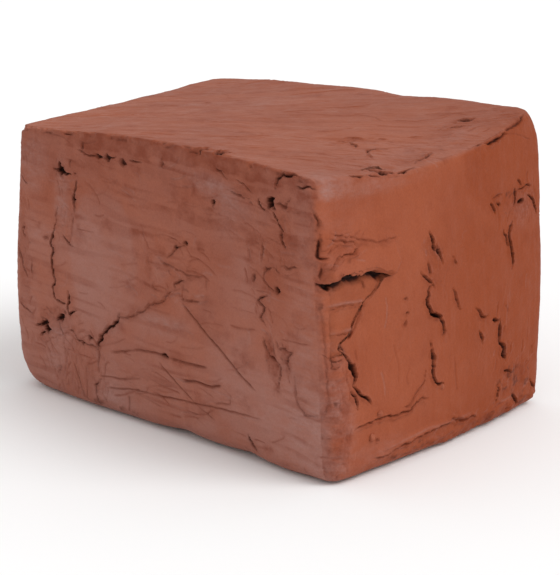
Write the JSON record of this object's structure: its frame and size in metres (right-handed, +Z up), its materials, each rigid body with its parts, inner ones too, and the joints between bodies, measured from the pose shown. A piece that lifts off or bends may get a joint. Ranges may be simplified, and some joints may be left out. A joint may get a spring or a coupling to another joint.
{
  "type": "block of modelling clay",
  "caption": "Slumped block of moist terracotta modelling clay with a wire-cut top, torn skin, open seams, a hanging torn tongue and a few crumbs.",
  "frame": {"origin": "on the floor, in the middle of the base of the bounding box", "axes": "+Z up, +X along the long side towards the torn right face, -Y out of the long front face"},
  "size_m": [0.2537, 0.189, 0.1652],
  "materials": {
    "skin_clay": "matt, moist, unfired",
    "wire_cut_clay": "matt, with fine wire drag lines",
    "core_clay": "matt, darker inside the seams",
    "crumb_clay": "matt"
  },
  "bodies": {
    "root": {"core": "core_clay", "top_sheet": "wire_cut_clay", "top_side_lap": "wire_cut_clay", "front_left_lap": "skin_clay", "front_centre_leaf": "skin_clay", "front_lower_leaf": "skin_clay", "front_right_lap": "skin_clay", "side_upper_leaf": "skin_clay", "side_torn_tongue": "skin_clay", "side_oval_leaf": "skin_clay", "side_middle_leaf": "skin_clay", "side_far_leaf": "skin_clay", "side_base_lap": "skin_clay", "crumbs": "crumb_clay"}
  },
  "joints": []
}
